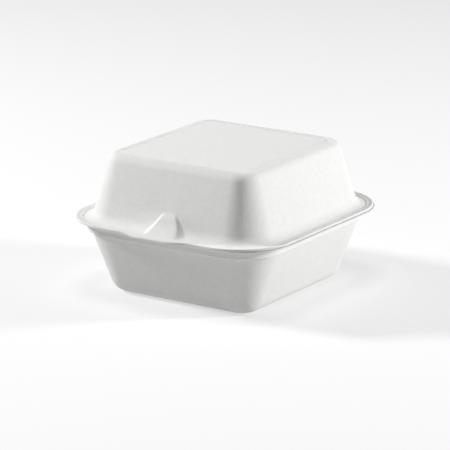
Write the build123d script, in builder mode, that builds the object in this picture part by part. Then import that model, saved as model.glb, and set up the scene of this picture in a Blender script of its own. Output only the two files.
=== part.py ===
"""A hinged takeaway burger box, pressed as one sheet of plant fibre and folded shut.

Two nodes come from this file: the tray that the food lies in, and the lid that folds over it.
Millimetres, +Z up. The origin is in the middle of the closed box's width and depth, on the surface
that it stands on. The lock is on the front, at -Y, and the fold is on the back, at +Y.
"""
import os
from math import cos, radians, sin, sqrt, tan

from build123d import *

# Overall sizes
rim_width = 152.0
rim_depth = 158.0
rim_height = 47.2
closed_height = 89.5

# The pressed sheet
sheet = 0.8
flange_thickness = 1.2
closing_gap = 0.3

# Tray: a flat rim with a turned edge, a stepped band under it, then a tapered bowl
tray_rim_corner = 35.0
lip_drop = 1.0
lip_thickness = 1.1
tray_ledge_side = 6.5
tray_ledge_end = 7.5
band_corner = 27.0
band_draft = 6.5
band_height = 5.6
step_inset = 1.8
bowl_draft = 20.4
bowl_corner = 27.0
base_round = 11.0

# Tray: the raised middle of the underside, which leaves a ring to stand on
foot_ring = 6.0
foot_rise = 1.0
foot_corner = 12.0
foot_draft = 45.0

# Lid: a flat rim, a tapered dome, and a rounded border round a slightly sunken panel
lid_rim_inset = 1.0
lid_rim_corner = 36.0
lid_ledge_side = 10.7
lid_ledge_end = 11.2
dome_draft = 15.8
dome_corner = 24.0
crown_round = 9.0
panel_border = 6.4
panel_sink = 0.6
panel_corner = 9.0
panel_draft = 45.0
foot_chamfer = 2.6
lid_lip_rise = 0.7

# Lock: a hollow boss on the dome's front wall, the tray's tongue that stands in it, and a thumb tab
lock_shift = 2.0
boss_top = 60.5
boss_reach = 7.5
boss_foot_width = 25.0
boss_top_width = 2.5
boss_draft = 12.0
boss_root = 8.0
tongue_width = 16.0
tongue_thickness = 1.1
tongue_rise = 1.6
tongue_round = 1.5
tab_root_width = 46.0
tab_end_width = 25.0
tab_reach = 5.5
tab_round = 7.0

# Fold: the lid turns about a line just outside both back edges
fold_clearance = 0.15

# How near to a level a face or corner has to be to count as lying on it
level_margin = 0.02

# Heights and places that follow
tray_rim_top = rim_height - closing_gap / 2
tray_rim_base = tray_rim_top - flange_thickness
lid_rim_base = rim_height + closing_gap / 2
lid_rim_top = lid_rim_base + flange_thickness
dome_width = rim_width - 2 * lid_ledge_side
dome_depth = rim_depth - 2 * lid_ledge_end
dome_height = closed_height - lid_rim_base
crown_width = dome_width - 2 * dome_height * tan(radians(dome_draft))
crown_depth = dome_depth - 2 * dome_height * tan(radians(dome_draft))
band_width = rim_width - 2 * tray_ledge_side
band_depth = rim_depth - 2 * tray_ledge_end
band_base = tray_rim_base - band_height
band_shrink = 2 * (tray_rim_top - band_base) * tan(radians(band_draft))
bowl_width = band_width - band_shrink - 2 * step_inset
bowl_depth = band_depth - band_shrink - 2 * step_inset
base_width = bowl_width - 2 * band_base * tan(radians(bowl_draft))
base_depth = bowl_depth - 2 * band_base * tan(radians(bowl_draft))
lid_rim_width = rim_width - 2 * lid_rim_inset
lid_rim_depth = rim_depth - lid_rim_inset
lid_rim_shift = lid_rim_inset / 2
tongue_top = lid_rim_top + tongue_rise
tab_foot = lid_rim_shift - lid_rim_depth / 2
tongue_place = band_depth / 2 - sheet + tongue_thickness / 2
rim_shift = (tab_reach - lid_rim_inset) / 2
fold_y = rim_shift + rim_depth / 2 + fold_clearance


def level(height):
    """A level plane at one height, centred on the rim."""
    return Plane((0, rim_shift, height))


def down_from(height):
    """The same plane turned over, so that an extrusion goes down from it."""
    return Plane((0, rim_shift, height), z_dir=(0, 0, -1))


def front_face(distance):
    """An upright plane that looks to the front, at one distance before the rim's middle."""
    return Plane.XZ.offset(distance - rim_shift)


def face_at(part, height):
    """The flat face of a part that lies at one height."""
    faces = part.faces().filter_by_position(Axis.Z, height - level_margin, height + level_margin)
    return faces[0]


def border_steps(radius, draft):
    """Two conical steps inside the sheet that follow a rounded border: each one's height and draft."""
    turn = (90 - draft) / 4
    first = radius * (sin(radians(draft + 2 * turn)) - sin(radians(draft)))
    second = radius * (1 - sin(radians(draft + 2 * turn)))
    return [(first, draft + turn), (second, draft + 3 * turn)]


def bowl_form(inset):
    """The tray's bowl and band as a solid: its outer form, or its hollow at one sheet inside."""
    band_wall = inset / cos(radians(band_draft))
    bowl_wall = inset / cos(radians(bowl_draft)) - inset * tan(radians(bowl_draft))
    step = band_base + inset
    steps = border_steps(base_round - inset, bowl_draft) if inset else []
    foot_width = base_width - 2 * (base_round + foot_ring) + inset
    foot_depth = base_depth - 2 * (base_round + foot_ring) + inset
    with BuildPart() as form:
        with BuildSketch(down_from(step)):
            RectangleRounded(bowl_width - 2 * bowl_wall, bowl_depth - 2 * bowl_wall, bowl_corner - bowl_wall)
        extrude(amount=band_base - sum(height for height, draft in steps), taper=bowl_draft)
        for height, draft in steps:
            extrude(form.faces().sort_by(Axis.Z)[0], amount=height, taper=draft)
        if not steps:
            fillet(form.edges().group_by(Axis.Z)[0], base_round)
        with BuildSketch(down_from(tray_rim_top)):
            RectangleRounded(band_width - 2 * band_wall, band_depth - 2 * band_wall, band_corner - band_wall)
        extrude(amount=tray_rim_top - step, taper=band_draft)
        with BuildSketch(level(inset)):
            RectangleRounded(foot_width, foot_depth, foot_corner)
        extrude(amount=foot_rise, taper=foot_draft, mode=Mode.SUBTRACT)
    return form.part


def dome_form(inset):
    """The lid's dome as a solid: its outer form, or its hollow at one sheet inside."""
    wall = inset / cos(radians(dome_draft))
    steps = border_steps(crown_round - inset, dome_draft) if inset else []
    panel_width = crown_width - 2 * panel_border + inset
    panel_depth = crown_depth - 2 * panel_border + inset
    with BuildPart() as form:
        with BuildSketch(level(lid_rim_base)):
            RectangleRounded(dome_width - 2 * wall, dome_depth - 2 * wall, dome_corner - wall)
        extrude(amount=dome_height - inset - sum(height for height, draft in steps), taper=dome_draft)
        for height, draft in steps:
            extrude(form.faces().sort_by(Axis.Z)[-1], amount=height, taper=draft)
        if not steps:
            fillet(form.edges().group_by(Axis.Z)[-1], crown_round)
        with BuildSketch(down_from(closed_height - inset)):
            RectangleRounded(panel_width, panel_depth, panel_corner)
        extrude(amount=panel_sink, taper=panel_draft, mode=Mode.SUBTRACT)
    return form.part


def boss_form(inset):
    """The lock's boss on the dome's front wall: its outer form, or its hollow at one sheet inside."""
    foot = dome_depth / 2 + boss_reach
    top = dome_depth / 2 - (boss_top - lid_rim_base) * tan(radians(dome_draft))
    lean = (foot - top) / (boss_top - lid_rim_top)
    face_wall = inset * sqrt(1 + lean**2)
    flank_wall = inset / cos(radians(boss_draft))
    front = foot + lean * flange_thickness
    root = dome_depth / 2 - boss_root
    with BuildPart() as boss:
        with BuildSketch(Plane.YZ.offset(lock_shift)):
            with Locations((rim_shift, 0)):
                with BuildLine():
                    Polyline(
                        (face_wall - front, lid_rim_base),
                        (face_wall - top, boss_top),
                        (-root, boss_top),
                        (-root, lid_rim_base),
                        close=True,
                    )
                make_face()
        extrude(amount=boss_foot_width, both=True)
        with BuildSketch(Plane((lock_shift, rim_shift - front, 0), x_dir=(-1, 0, 0), z_dir=(0, 1, 0))):
            with BuildLine():
                Polyline(
                    (flank_wall - boss_foot_width / 2, lid_rim_base),
                    (boss_foot_width / 2 - flank_wall, lid_rim_base),
                    (boss_top_width / 2 - flank_wall, boss_top),
                    (flank_wall - boss_top_width / 2, boss_top),
                    close=True,
                )
            make_face()
        extrude(amount=front - root, taper=-boss_draft, mode=Mode.INTERSECT)
    return boss.part


# Tray
tray_outer = bowl_form(0)
tray_hollow = bowl_form(sheet)

with BuildPart() as tray:
    add(tray_outer)
    with BuildSketch(level(tray_rim_base)):
        RectangleRounded(rim_width, rim_depth, tray_rim_corner)
    extrude(amount=flange_thickness)
    with BuildSketch(level(tray_rim_base - lip_drop)):
        RectangleRounded(rim_width, rim_depth, tray_rim_corner)
        RectangleRounded(
            rim_width - 2 * lip_thickness,
            rim_depth - 2 * lip_thickness,
            tray_rim_corner - lip_thickness,
            mode=Mode.SUBTRACT,
        )
    extrude(amount=lip_drop)
    add(tray_hollow, mode=Mode.SUBTRACT)
    with BuildSketch(front_face(tongue_place - tongue_thickness / 2)) as tongue_sketch:
        with Locations((lock_shift, tray_rim_base)):
            Rectangle(tongue_width, tongue_top - tray_rim_base, align=(Align.CENTER, Align.MIN))
        fillet(tongue_sketch.vertices().group_by(Axis.Y)[-1], tongue_round)
    extrude(amount=tongue_thickness)

# Lid
dome_outer = dome_form(0)
dome_hollow = dome_form(sheet)
boss_outer = boss_form(0)
boss_hollow = boss_form(sheet)

with BuildSketch() as lid_outline:
    with Locations((0, lid_rim_shift)):
        RectangleRounded(lid_rim_width, lid_rim_depth, lid_rim_corner)
    with BuildLine():
        Polyline(
            (lock_shift - tab_root_width / 2, tab_foot),
            (lock_shift - tab_end_width / 2, tab_foot - tab_reach),
            (lock_shift + tab_end_width / 2, tab_foot - tab_reach),
            (lock_shift + tab_root_width / 2, tab_foot),
            close=True,
        )
    make_face()
    corners = lid_outline.vertices().filter_by_position(
        Axis.Y, tab_foot - tab_reach - level_margin, tab_foot + level_margin
    )
    reach = tab_root_width / 2 + level_margin
    fillet(corners.filter_by_position(Axis.X, lock_shift - reach, lock_shift + reach), tab_round)

with BuildPart() as lid:
    add(dome_outer)
    with BuildSketch(level(lid_rim_base)):
        add(lid_outline.sketch_local)
    extrude(amount=flange_thickness)
    chamfer(face_at(lid, lid_rim_top).inner_wires()[0].edges(), foot_chamfer)
    with BuildSketch(level(lid_rim_top)):
        add(lid_outline.sketch_local)
        offset(lid_outline.sketch_local, amount=-lip_thickness, mode=Mode.SUBTRACT)
    extrude(amount=lid_lip_rise)
    add(boss_outer)
    add(dome_hollow, mode=Mode.SUBTRACT)
    chamfer(face_at(lid, lid_rim_base).inner_wires()[0].edges(), foot_chamfer)
    add(boss_hollow, mode=Mode.SUBTRACT)

tray.part.label = "tray"
lid.part.label = "lid"
os.makedirs("parts", exist_ok=True)
export_step(tray.part, "parts/tray.step")
export_step(lid.part, "parts/lid.step")
print("The lid turns about the line y =", fold_y, "z =", rim_height)
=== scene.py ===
import math

import bpy
from mathutils import Matrix, Vector


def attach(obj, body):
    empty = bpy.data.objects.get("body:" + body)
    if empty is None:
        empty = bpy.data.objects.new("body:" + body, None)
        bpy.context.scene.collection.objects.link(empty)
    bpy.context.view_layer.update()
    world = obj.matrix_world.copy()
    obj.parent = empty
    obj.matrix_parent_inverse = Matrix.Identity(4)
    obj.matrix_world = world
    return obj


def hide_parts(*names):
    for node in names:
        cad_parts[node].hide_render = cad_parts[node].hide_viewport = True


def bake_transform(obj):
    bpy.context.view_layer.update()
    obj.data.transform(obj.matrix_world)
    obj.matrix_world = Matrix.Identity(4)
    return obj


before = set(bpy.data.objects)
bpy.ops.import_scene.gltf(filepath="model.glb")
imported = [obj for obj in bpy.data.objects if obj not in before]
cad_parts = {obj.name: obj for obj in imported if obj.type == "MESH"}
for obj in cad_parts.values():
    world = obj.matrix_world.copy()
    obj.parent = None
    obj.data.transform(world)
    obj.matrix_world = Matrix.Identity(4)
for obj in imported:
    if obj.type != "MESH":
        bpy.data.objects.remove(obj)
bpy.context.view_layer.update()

# A hinged burger box, pressed as one sheet of plant fibre: the tray, the lid and the fold.
# Lengths are in millimetres until MM makes them metres. X runs to the right, the lock is on the
# front at -Y and the fold is on the back at +Y.

MM = 0.001
NEAR = 0.01
SHEET = 1.0

# The middle of the outlines lies behind the origin, and the lock to the right of the middle. Its
# boss leans a little further to the right than its tongue.
OUTLINE_Y = 2.25
LOCK_X = 2.0
BOSS_X = 2.4

CORNER_STEPS = 14
TAB_STEPS = 6
PROFILE_STEPS = 8

# Selecting and shaping


def clear_selection():
    if bpy.context.object is not None and bpy.context.object.mode != "OBJECT":
        bpy.ops.object.mode_set(mode="OBJECT")
    bpy.ops.object.select_all(action="DESELECT")


def make_active(piece):
    clear_selection()
    piece.select_set(True)
    bpy.context.view_layer.objects.active = piece


def edit(piece):
    make_active(piece)
    bpy.ops.object.mode_set(mode="EDIT")


def leave():
    bpy.ops.object.mode_set(mode="OBJECT")


def start_picking(kind):
    """Clears what is selected in the mesh, so that points or edges can be picked."""
    bpy.ops.object.mode_set(mode="EDIT")
    bpy.ops.mesh.select_mode(type=kind)
    bpy.ops.mesh.select_all(action="DESELECT")
    bpy.ops.object.mode_set(mode="OBJECT")


def pick_points(piece, test):
    """Selects the points whose place, in millimetres, passes the test."""
    start_picking("VERT")
    for point in piece.data.vertices:
        point.select = test(*(point.co / MM))
    bpy.ops.object.mode_set(mode="EDIT")


def pick_edges(piece, test):
    """Selects the edges whose two ends both pass the test."""
    start_picking("EDGE")
    points = piece.data.vertices
    for edge in piece.data.edges:
        edge.select = all(test(*(points[i].co / MM)) for i in edge.vertices)
    bpy.ops.object.mode_set(mode="EDIT")


def join(parts, name):
    clear_selection()
    for part in parts:
        part.select_set(True)
    bpy.context.view_layer.objects.active = parts[0]
    bpy.ops.object.join()
    whole = bpy.context.object
    whole.name = name
    whole.data.name = name
    return whole


def block(width, depth, height, x, y, z):
    """A plain block about x, y, z, with its place in its mesh."""
    clear_selection()
    bpy.ops.mesh.primitive_cube_add(size=1, location=(0, 0, 0))
    made = bpy.context.object
    bpy.ops.object.mode_set(mode="EDIT")
    bpy.ops.mesh.select_all(action="SELECT")
    size = (width * MM, depth * MM, height * MM)
    bpy.ops.transform.resize(value=size, center_override=(0, 0, 0))
    bpy.ops.transform.translate(value=(x * MM, y * MM, z * MM))
    leave()
    return made


def smooth(piece, angle):
    make_active(piece)
    bpy.ops.object.shade_smooth_by_angle(angle=math.radians(angle))


# Outlines of the pressed sheet

# A tab is made by four points of the front edge, which are gathered about the lock. A swell is
# made by pairs of points: the first few lie along its flat front, the others down its flanks.

PAIR_MARGIN = 0.01
TAB_CUTS = 4
SWELL_PAIRS = 14
FLAT_PAIRS = 5
FLANK_PAIRS = SWELL_PAIRS - FLAT_PAIRS


def round_points(radius, steps):
    """Rounds the picked points of an outline."""
    bpy.ops.mesh.bevel(
        offset=radius * MM,
        offset_type="ABSOLUTE",
        segments=steps,
        affect="VERTICES",
        clamp_overlap=False,
    )


def cut_front(outline, depth, cuts):
    pick_edges(outline, lambda x, y, z: y < NEAR - depth / 2)
    bpy.ops.mesh.subdivide(number_cuts=cuts)


def move_pair(outline, width, depth, found, wanted, shift, out):
    """Takes the pair of front points found at one distance from the middle to the wanted one,
    then moves both to the side and outwards."""
    margin = PAIR_MARGIN * width
    pick_points(
        outline, lambda x, y, z: y < NEAR - depth / 2 and abs(abs(x) - found) < margin
    )
    bpy.ops.transform.resize(value=(wanted / found, 1, 1), center_override=(0, 0, 0))
    bpy.ops.transform.translate(value=(shift * MM, -out * MM, 0))


def pull_tab(outline, width, depth, root, end, reach, rounding):
    """Pulls a tab out of the front. Root and end are half its widths there."""
    cut_front(outline, depth, TAB_CUTS)
    gap = width / (TAB_CUTS + 1)
    move_pair(outline, width, depth, gap * 3 / 2, root, LOCK_X, 0)
    move_pair(outline, width, depth, gap / 2, end, LOCK_X, reach)
    pick_points(outline, lambda x, y, z: y < 0 and abs(x) < width / 2 - NEAR)
    round_points(rounding, TAB_STEPS)


def pull_swell(outline, width, depth, half, flank, reach):
    """Swells the front outwards, with a flat front and two flanks that fall off smoothly."""
    cut_front(outline, depth, 2 * SWELL_PAIRS)
    gap = width / (2 * SWELL_PAIRS + 1)
    flat = half - flank / 2
    for pair in range(SWELL_PAIRS):
        share = max(0, (pair + 1 - FLAT_PAIRS) / FLANK_PAIRS)
        if share > 0:
            wanted = flat + flank * share
        else:
            wanted = flat * (pair + 0.5) / (FLAT_PAIRS - 0.5)
        fall = share * share * (3 - 2 * share)
        out = reach * (1 - fall)
        move_pair(outline, width, depth, (pair + 0.5) * gap, wanted, BOSS_X, out)


def ring(width, depth, corner, height, back=0.0, side=0.0, tab=None, swell=None, face=False):
    """One level outline with round corners, from a plane, moved back and to the side. Tab and
    swell are what pull_tab and pull_swell take, and face keeps the plane's face in it."""
    clear_selection()
    bpy.ops.mesh.primitive_plane_add(size=1, location=(0, 0, 0))
    outline = bpy.context.object
    bpy.ops.object.mode_set(mode="EDIT")
    bpy.ops.mesh.select_all(action="SELECT")
    bpy.ops.transform.resize(value=(width * MM, depth * MM, 1), center_override=(0, 0, 0))
    if tab:
        pull_tab(outline, width, depth, *tab)
    if swell:
        pull_swell(outline, width, depth, *swell)
    half_width = width / 2 - NEAR
    half_depth = depth / 2 - NEAR
    pick_points(outline, lambda x, y, z: abs(x) > half_width and abs(y) > half_depth)
    round_points(corner, CORNER_STEPS)
    bpy.ops.mesh.select_all(action="SELECT")
    place = (side * MM, (OUTLINE_Y + back) * MM, height * MM)
    bpy.ops.transform.translate(value=place)
    if not face:
        bpy.ops.mesh.delete(type="ONLY_FACE")
    leave()
    return outline


# From outlines to a shell

# An outline is kept as the function that makes it, because most of them edge two strips.

SAME_POINT = 0.02
SHELL_ANGLE = 38
RIGHT_ANGLE = math.pi / 2


def strip(make_lower, make_upper):
    """The band of sheet between two outlines."""
    band = join([make_lower(), make_upper()], "strip")
    edit(band)
    bpy.ops.mesh.select_mode(type="EDGE")
    bpy.ops.mesh.select_all(action="SELECT")
    bpy.ops.mesh.bridge_edge_loops()
    leave()
    return band


def turn_outwards(shell, way):
    """Flips the normals if the broad flat face doesn't look up (1) or down (-1), as way says."""
    flat = max(shell.data.polygons, key=lambda face: face.area * abs(face.normal.z))
    if flat.normal.z * way < 0:
        edit(shell)
        bpy.ops.mesh.select_all(action="SELECT")
        bpy.ops.mesh.flip_normals()
        leave()


def skin(outlines, name, way):
    """Strips through all the outlines, and a face over the last one."""
    strips = [strip(lower, upper) for lower, upper in zip(outlines, outlines[1:])]
    cap = outlines[-1](True)
    shell = join(strips + [cap], name)
    edit(shell)
    bpy.ops.mesh.select_all(action="SELECT")
    bpy.ops.mesh.remove_doubles(threshold=SAME_POINT * MM)
    bpy.ops.mesh.normals_make_consistent(inside=False)
    leave()
    turn_outwards(shell, way)
    return shell


def thicken(shell):
    """Gives the skin the sheet's thickness, inwards."""
    make_active(shell)
    sheet = shell.modifiers.new("sheet", "SOLIDIFY")
    sheet.thickness = SHEET * MM
    sheet.offset = -1
    sheet.use_even_offset = False
    bpy.ops.object.modifier_apply(modifier=sheet.name)


def rounded(corners):
    """Rounds a profile. Each corner is (inset, height, rounding, plan corner), and each row that
    comes back is (inset, height, plan corner)."""
    rows = []
    for i, (inset, height, rounding, plan) in enumerate(corners):
        if rounding == 0 or i in (0, len(corners) - 1):
            rows.append((inset, height, plan))
            continue
        here = Vector((inset, height))
        before = Vector(corners[i - 1][:2]) - here
        after = Vector(corners[i + 1][:2]) - here
        turn = math.pi - before.angle(after)
        cut = rounding * math.tan(turn / 2)
        start = here + before.normalized() * cut
        end = here + after.normalized() * cut
        inwards = (before.normalized() + after.normalized()).normalized()
        centre = here + inwards * (rounding / math.cos(turn / 2))
        count = max(2, round(PROFILE_STEPS * turn / RIGHT_ANGLE))
        for k in range(count + 1):
            share = k / count
            from_start = math.sin((1 - share) * turn) / math.sin(turn)
            from_end = math.sin(share * turn) / math.sin(turn)
            arm = (start - centre) * from_start + (end - centre) * from_end
            rows.append((centre.x + arm.x, centre.y + arm.y, plan))
    return rows


# The pulp

# It is pale and matt, with a fine grain, short fibres and a slight wave.
PULP_DARK = (0.815, 0.81, 0.80, 1)
PULP_LIGHT = (0.87, 0.867, 0.86, 1)
PULP_SHINE = 0.25
PULP_SMOOTHEST = 0.78
PULP_ROUGHEST = 0.94
GRAIN_ROUGHNESS = 0.6
FIBRE_STRETCH = (1.0, 1.0, 0.8)
FIBRE_TWIST = 1.2
DARK_FROM = 0.25
LIGHT_FROM = 0.75


def add_noise(tree, place, scale, detail):
    noise = tree.nodes.new("ShaderNodeTexNoise")
    noise.inputs["Scale"].default_value = scale
    noise.inputs["Detail"].default_value = detail
    tree.links.new(place, noise.inputs["Vector"])
    return noise


def add_bump(tree, noise, strength, distance, over=None):
    """A bump from a noise, over another bump's normal. The distance is in millimetres."""
    bump = tree.nodes.new("ShaderNodeBump")
    bump.inputs["Strength"].default_value = strength
    bump.inputs["Distance"].default_value = distance * MM
    tree.links.new(noise.outputs["Fac"], bump.inputs["Height"])
    if over:
        tree.links.new(over.outputs["Normal"], bump.inputs["Normal"])
    return bump


def pulp_material():
    pulp = bpy.data.materials.new("pulp")
    pulp.use_nodes = True
    tree = pulp.node_tree
    shader = tree.nodes["Principled BSDF"]
    shader.inputs["Specular IOR Level"].default_value = PULP_SHINE
    place = tree.nodes.new("ShaderNodeTexCoord").outputs["Object"]

    grain = add_noise(tree, place, scale=1500, detail=4)
    grain.inputs["Roughness"].default_value = GRAIN_ROUGHNESS
    stretch = tree.nodes.new("ShaderNodeMapping")
    stretch.inputs["Scale"].default_value = FIBRE_STRETCH
    tree.links.new(place, stretch.inputs["Vector"])
    fibre = add_noise(tree, stretch.outputs["Vector"], scale=420, detail=3)
    fibre.inputs["Distortion"].default_value = FIBRE_TWIST
    wave = add_noise(tree, place, scale=38, detail=1)

    tone = tree.nodes.new("ShaderNodeValToRGB")
    dark, light = tone.color_ramp.elements
    dark.position = DARK_FROM
    dark.color = PULP_DARK
    light.position = LIGHT_FROM
    light.color = PULP_LIGHT
    tree.links.new(fibre.outputs["Fac"], tone.inputs["Fac"])
    tree.links.new(tone.outputs["Color"], shader.inputs["Base Color"])

    roughness = tree.nodes.new("ShaderNodeMapRange")
    roughness.inputs["To Min"].default_value = PULP_SMOOTHEST
    roughness.inputs["To Max"].default_value = PULP_ROUGHEST
    tree.links.new(grain.outputs["Fac"], roughness.inputs["Value"])
    tree.links.new(roughness.outputs["Result"], shader.inputs["Roughness"])

    fine = add_bump(tree, grain, strength=0.45, distance=0.3)
    middle = add_bump(tree, fibre, strength=0.35, distance=0.4, over=fine)
    broad = add_bump(tree, wave, strength=0.25, distance=1.6, over=middle)
    tree.links.new(broad.outputs["Normal"], shader.inputs["Normal"])
    return pulp


pulp = pulp_material()


def finish_in_pulp(piece):
    piece.data.materials.clear()
    piece.data.materials.append(pulp)


# The tray

TRAY_RIM = (150.0, 155.0)
TRAY_RIM_CORNER = 34.2
TRAY_RIM_BACK = 1.2
TRAY_RIM_SIDE = 0.7
TRAY_UNDER = 46.1
TRAY_BAND = (139.0, 143.0)
BAND_CORNER = 28.5
BAND_FOOT = 40.25
BAND_FOOT_CORNER = 28.0
BOWL_CORNER = 29.5
TRAY_BASE = 0.05
MIDDLE_RAISED = 1.0
MIDDLE_CORNER = 46.0

# The turned edge of the rim, from its top round to its underside, as (inset, height)
TRAY_EDGE = [
    (0.15, 47.05),
    (0.0, 46.75),
    (0.05, 46.4),
    (0.3, 46.18),
    (0.7, TRAY_UNDER),
    (2.4, TRAY_UNDER),
]

# The outside of the tray from the rim down: the stepped band, the bowl, the ring that it
# stands on and the raised middle, as (inset, height, rounding, plan corner)
TRAY_PROFILE = [
    (-2.6, TRAY_UNDER, 0, BAND_CORNER),
    (0.125, TRAY_UNDER, 1.4, BAND_CORNER),
    (0.775, BAND_FOOT, 1.0, BAND_FOOT_CORNER),
    (2.575, BAND_FOOT, 0.9, BOWL_CORNER),
    (17.54, TRAY_BASE, 11.0, BOWL_CORNER),
    (34.4, TRAY_BASE, 0.8, MIDDLE_CORNER),
    (35.6, MIDDLE_RAISED, 0.8, MIDDLE_CORNER),
    (38.0, MIDDLE_RAISED, 0, MIDDLE_CORNER + 1),
]

TONGUE_WIDTH = 16
TONGUE_THICK = 1.0
TONGUE_TALL = 3.4
TONGUE_Y = -68.95
TONGUE_Z = 47.8
TONGUE_ROUND = 1.5
TONGUE_STEPS = 5


def tray_rim(inset, height):
    width, depth = TRAY_RIM
    return lambda face=False: ring(
        width - 2 * inset,
        depth - 2 * inset,
        TRAY_RIM_CORNER - inset,
        height,
        back=TRAY_RIM_BACK,
        side=TRAY_RIM_SIDE,
        face=face,
    )


def tray_row(inset, height, corner):
    width, depth = TRAY_BAND
    return lambda face=False: ring(
        width - 2 * inset, depth - 2 * inset, corner - inset, height, face=face
    )


def tongue():
    """The tongue of the lock, a low wall on the front of the rim with round upper corners."""
    wall = block(TONGUE_WIDTH, TONGUE_THICK, TONGUE_TALL, LOCK_X, TONGUE_Y, TONGUE_Z)
    top = TONGUE_Z + TONGUE_TALL / 2 - NEAR
    end = TONGUE_WIDTH / 2 - NEAR
    for way in (1, -1):
        pick_edges(wall, lambda x, y, z: z > top and (x - LOCK_X) * way > end)
        bpy.ops.mesh.bevel(offset=TONGUE_ROUND * MM, segments=TONGUE_STEPS, affect="EDGES")
        leave()
    return wall


outlines = [tray_rim(*row) for row in TRAY_EDGE]
outlines += [tray_row(*row) for row in rounded(TRAY_PROFILE)]
tray = skin(outlines, "tray_shell", -1)
thicken(tray)
tray = join([tray, tongue()], "tray_shell")
smooth(tray, SHELL_ANGLE)
finish_in_pulp(tray)
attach(tray, "tray_body")
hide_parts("tray")

# The lid

LID_RIM = (151.2, 157.8)
LID_RIM_CORNER = 36.3
LID_RIM_BACK = -0.1
LID_RIM_SIDE = -0.2
LID_TOP = 48.45

TAB_ROOT = 23.3
TAB_END = 12.6
TAB_REACH = 4.5
TAB_ROUND = 3.0
# The tab narrows by this share of an outline's inset, so that its flanks stay parallel.
TAB_SLIP = 0.227

DOME = (130.6, 135.6)
DOME_BASE = 47.35
DOME_TILT = math.tan(math.radians(15.8))
DOME_CORNER = 24
FOOT_ROUND = 7.0
CROWN = 89.45
CROWN_ROUND = 7.2
PANEL = 88.75
PANEL_START = 17.7
PANEL_SLOPE = 0.7
PANEL_ROUND = 0.5
PANEL_CORNER = 25
PANEL_MIDDLE = 23.0
PANEL_MIDDLE_CORNER = 30

# The lip of the rim, from its lower edge over to the flange, as (inset, height)
LID_EDGE = [
    (0.3, 47.55),
    (0.1, 47.85),
    (0.1, 48.5),
    (0.3, 48.88),
    (0.7, 49.05),
    (1.2, 49.0),
    (1.8, 48.8),
    (2.6, 48.7),
]

# The shallow groove before the dome's foot, as (inset from the foot, height)
GROOVE = [(-0.95, 48.7), (-0.6, 48.7), (-0.4, 48.6), (-0.25, 48.46), (-0.12, 48.43)]

# Heights of the rows that carry the boss up the wall
BOSS_ROWS = (54.6, 55.8, 57, 58.2, 59.3, 60.2, 61.5)

# The boss of the lock stands a little out of the front wall and runs out over the flange. It is
# widest at its foot, and its upper edge is rounded over the first share of its height.
BOSS_TOP = 60.5
BOSS_TALL = 11.95
BOSS_EDGE = 1.5
BOSS_EDGE_SHARE = 0.3
BOSS_RUN = 6.4
BOSS_FOOT = 48.5
BOSS_HALF = 12.8
BOSS_TAPER = 0.71
BOSS_HALF_LEAST = 4.3
BOSS_FLANK_SHARE = 1.25
BOSS_FLANK_LEAST = 2.6
GROOVE_SPREAD = 0.6


def wall_inset(height):
    """How far in from the dome's own outline its wall stands at a height."""
    return (height - DOME_BASE) * DOME_TILT


dome_rows = rounded(
    [
        (-FOOT_ROUND, LID_TOP, 0, DOME_CORNER),
        (wall_inset(LID_TOP), LID_TOP, FOOT_ROUND, DOME_CORNER),
        (wall_inset(CROWN), CROWN, CROWN_ROUND, DOME_CORNER),
        (PANEL_START, CROWN, PANEL_ROUND, PANEL_CORNER),
        (PANEL_START + PANEL_SLOPE, PANEL, PANEL_ROUND, PANEL_CORNER),
        (PANEL_MIDDLE, PANEL, 0, PANEL_MIDDLE_CORNER),
    ]
)[1:]
dome_foot = dome_rows[0][0]


def boss(height, inset):
    """Half width, flank and reach of the boss, where an outline of the lid crosses it. Before the
    dome's foot the outlines all pass it at one height, so that the groove stays even there."""
    before_foot = max(0, dome_foot - inset)
    if before_foot > 0:
        height = LID_TOP
    down = max(0, (BOSS_TOP - height) / BOSS_TALL)
    edge = BOSS_EDGE * (1 - (1 - min(1, down / BOSS_EDGE_SHARE)) ** 2)
    out = edge + BOSS_RUN * down**3 - wall_inset(height) + GROOVE_SPREAD * before_foot
    reach = 0 if down == 0 else max(0, out + inset)
    half = max(BOSS_HALF_LEAST, BOSS_HALF - (height - BOSS_FOOT) * BOSS_TAPER)
    flank = max(BOSS_FLANK_LEAST, BOSS_FLANK_SHARE * reach)
    return half, flank, reach


def lid_rim(inset, height):
    width, depth = LID_RIM
    slip = TAB_SLIP * inset
    return lambda face=False: ring(
        width - 2 * inset,
        depth - 2 * inset,
        LID_RIM_CORNER - inset,
        height,
        back=LID_RIM_BACK,
        side=LID_RIM_SIDE,
        tab=(TAB_ROOT - slip, TAB_END - slip, TAB_REACH, TAB_ROUND),
        face=face,
    )


def lid_row(inset, height, corner):
    width, depth = DOME
    return lambda face=False: ring(
        width - 2 * inset,
        depth - 2 * inset,
        corner - inset,
        height,
        swell=boss(height, inset),
        face=face,
    )


lid_rows = [(dome_foot + inset, height, DOME_CORNER) for inset, height in GROOVE]
lid_rows += [row for row in dome_rows if row[1] < BOSS_ROWS[0]]
lid_rows += [(wall_inset(height), height, DOME_CORNER) for height in BOSS_ROWS]
lid_rows += [row for row in dome_rows if row[1] > BOSS_ROWS[-1]]
outlines = [lid_rim(*row) for row in LID_EDGE]
outlines += [lid_row(*row) for row in lid_rows]
lid = skin(outlines, "lid_shell", 1)
thicken(lid)
smooth(lid, SHELL_ANGLE)
finish_in_pulp(lid)
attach(lid, "lid_body")
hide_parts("lid")

# The fold

# It is a thinned strip of the same sheet between the two rims.

FOLD_WIDTH = 84
FOLD_THICK = 0.7
FOLD_TALL = 0.62
FOLD_Y = 80.85
FOLD_Z = 47.2
FOLD_CUTS = 6
FOLD_ANGLE = 60

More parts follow.
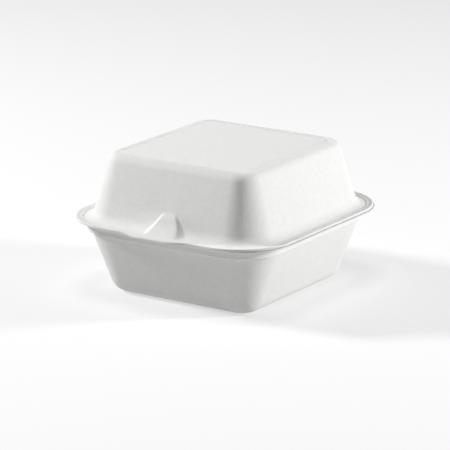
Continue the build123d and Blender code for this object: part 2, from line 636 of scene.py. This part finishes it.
fold = block(FOLD_WIDTH, FOLD_THICK, FOLD_TALL, 0, FOLD_Y, FOLD_Z)
fold = join([fold], "fold_strip")
edit(fold)
bpy.ops.mesh.select_all(action="SELECT")
bpy.ops.mesh.subdivide(number_cuts=FOLD_CUTS)
leave()
smooth(fold, FOLD_ANGLE)
finish_in_pulp(fold)
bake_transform(fold)

# The floor

# It glows a little, and looks lighter than the light that it gives. Its side is in metres.

FLOOR_SIDE = 14
FLOOR_GREY = 0.46
FLOOR_ROUGHNESS = 0.9
FLOOR_BOUNCE = 0.25
FLOOR_SEEN = 0.27


def floor_material():
    """A pale matt floor that keeps the box's shadow."""
    cover = bpy.data.materials.new("floor")
    cover.use_nodes = True
    nodes = cover.node_tree.nodes
    links = cover.node_tree.links
    matt = nodes["Principled BSDF"]
    matt.inputs["Base Color"].default_value = (FLOOR_GREY, FLOOR_GREY, FLOOR_GREY, 1)
    matt.inputs["Roughness"].default_value = FLOOR_ROUGHNESS
    matt.inputs["Specular IOR Level"].default_value = 0.0
    light_path = nodes.new("ShaderNodeLightPath")
    seen = light_path.outputs["Is Camera Ray"]
    for ray in ("Is Glossy Ray", "Is Transmission Ray"):
        either = nodes.new("ShaderNodeMath")
        either.operation = "MAXIMUM"
        links.new(seen, either.inputs[0])
        links.new(light_path.outputs[ray], either.inputs[1])
        seen = either.outputs["Value"]
    strength = nodes.new("ShaderNodeMath")
    strength.operation = "MULTIPLY_ADD"
    strength.inputs[1].default_value = FLOOR_SEEN
    strength.inputs[2].default_value = FLOOR_BOUNCE
    links.new(seen, strength.inputs[0])
    glow = nodes.new("ShaderNodeEmission")
    glow.inputs["Color"].default_value = (1, 1, 1, 1)
    links.new(strength.outputs["Value"], glow.inputs["Strength"])
    both = nodes.new("ShaderNodeAddShader")
    links.new(matt.outputs["BSDF"], both.inputs[0])
    links.new(glow.outputs["Emission"], both.inputs[1])
    links.new(both.outputs["Shader"], nodes["Material Output"].inputs["Surface"])
    return cover


clear_selection()
bpy.ops.mesh.primitive_plane_add(size=FLOOR_SIDE, location=(0, 0, 0))
floor = bpy.context.object
floor.name = "floor"
floor.data.materials.append(floor_material())

# The lamps and the world

# Angles are in degrees and distances in metres, from the middle of the box.

BOX_MIDDLE = Vector((0, 0, 0.045))
WORLD_STRENGTH = 0.05


def direction(azimuth, elevation):
    """The way out from the box, in degrees to the right of the front and above level."""
    turn = math.radians(azimuth)
    rise = math.radians(elevation)
    level = math.cos(rise)
    return Vector((math.sin(turn) * level, -math.cos(turn) * level, math.sin(rise)))


def lamp(name, azimuth, elevation, distance, size, watts):
    """A round soft lamp that shines on the box."""
    way = direction(azimuth, elevation)
    clear_selection()
    bpy.ops.object.light_add(type="AREA", location=way * distance + BOX_MIDDLE)
    made = bpy.context.object
    made.name = name
    made.data.shape = "DISK"
    made.data.size = size
    made.data.energy = watts
    made.rotation_euler = (-way).to_track_quat("-Z", "Y").to_euler()


lamp("right", azimuth=122, elevation=16, distance=1.6, size=0.25, watts=21)
lamp("left", azimuth=-69, elevation=31, distance=1.7, size=0.35, watts=24)
lamp("top", azimuth=20, elevation=82, distance=1.6, size=0.7, watts=7.5)

world = bpy.context.scene.world or bpy.data.worlds.new("World")
bpy.context.scene.world = world
world.use_nodes = True
background = world.node_tree.nodes["Background"]
background.inputs["Color"].default_value = (1, 1, 1, 1)
background.inputs["Strength"].default_value = WORLD_STRENGTH

# The camera

# It was fitted to the photograph. The focal length is in pixels of a picture that is PICTURE_SIDE
# wide, the aim stands off the point AIM_HEIGHT above the floor, and the clip is in metres.

CAMERA_AZIMUTH = 34.02
CAMERA_ELEVATION = 15.71
CAMERA_FAR = 1809.7
CAMERA_ROLL = -0.227
CAMERA_CLIP = 60
FOCAL = 2901.4
PICTURE_SIDE = 450
SENSOR = 36
AIM_HEIGHT = 40
AIM_RIGHT = 0.634
AIM_UP = -1.508


def add_camera():
    toward = direction(CAMERA_AZIMUTH, CAMERA_ELEVATION)
    turn = math.radians(CAMERA_AZIMUTH)
    right = Vector((math.cos(turn), math.sin(turn), 0))
    up = toward.cross(right)
    middle = Vector((0, 0, AIM_HEIGHT))
    eye = middle + CAMERA_FAR * toward
    aim = middle + AIM_RIGHT * right + AIM_UP * up
    clear_selection()
    bpy.ops.object.camera_add(location=eye * MM)
    camera = bpy.context.object
    camera.name = "camera"
    camera.data.sensor_width = SENSOR
    camera.data.lens = FOCAL / PICTURE_SIDE * SENSOR
    camera.data.clip_end = CAMERA_CLIP
    forward = (aim - eye).normalized()
    level_side = forward.cross(Vector((0, 0, 1))).normalized()
    level_over = level_side.cross(forward)
    roll = math.radians(CAMERA_ROLL)
    side = level_side * math.cos(roll) + level_over * math.sin(roll)
    over = side.cross(forward)
    axes = [(side[i], over[i], -forward[i]) for i in range(3)]
    camera.rotation_euler = Matrix(axes).to_euler()
    bpy.context.scene.camera = camera


add_camera()
bpy.context.scene.view_settings.view_transform = "Standard"
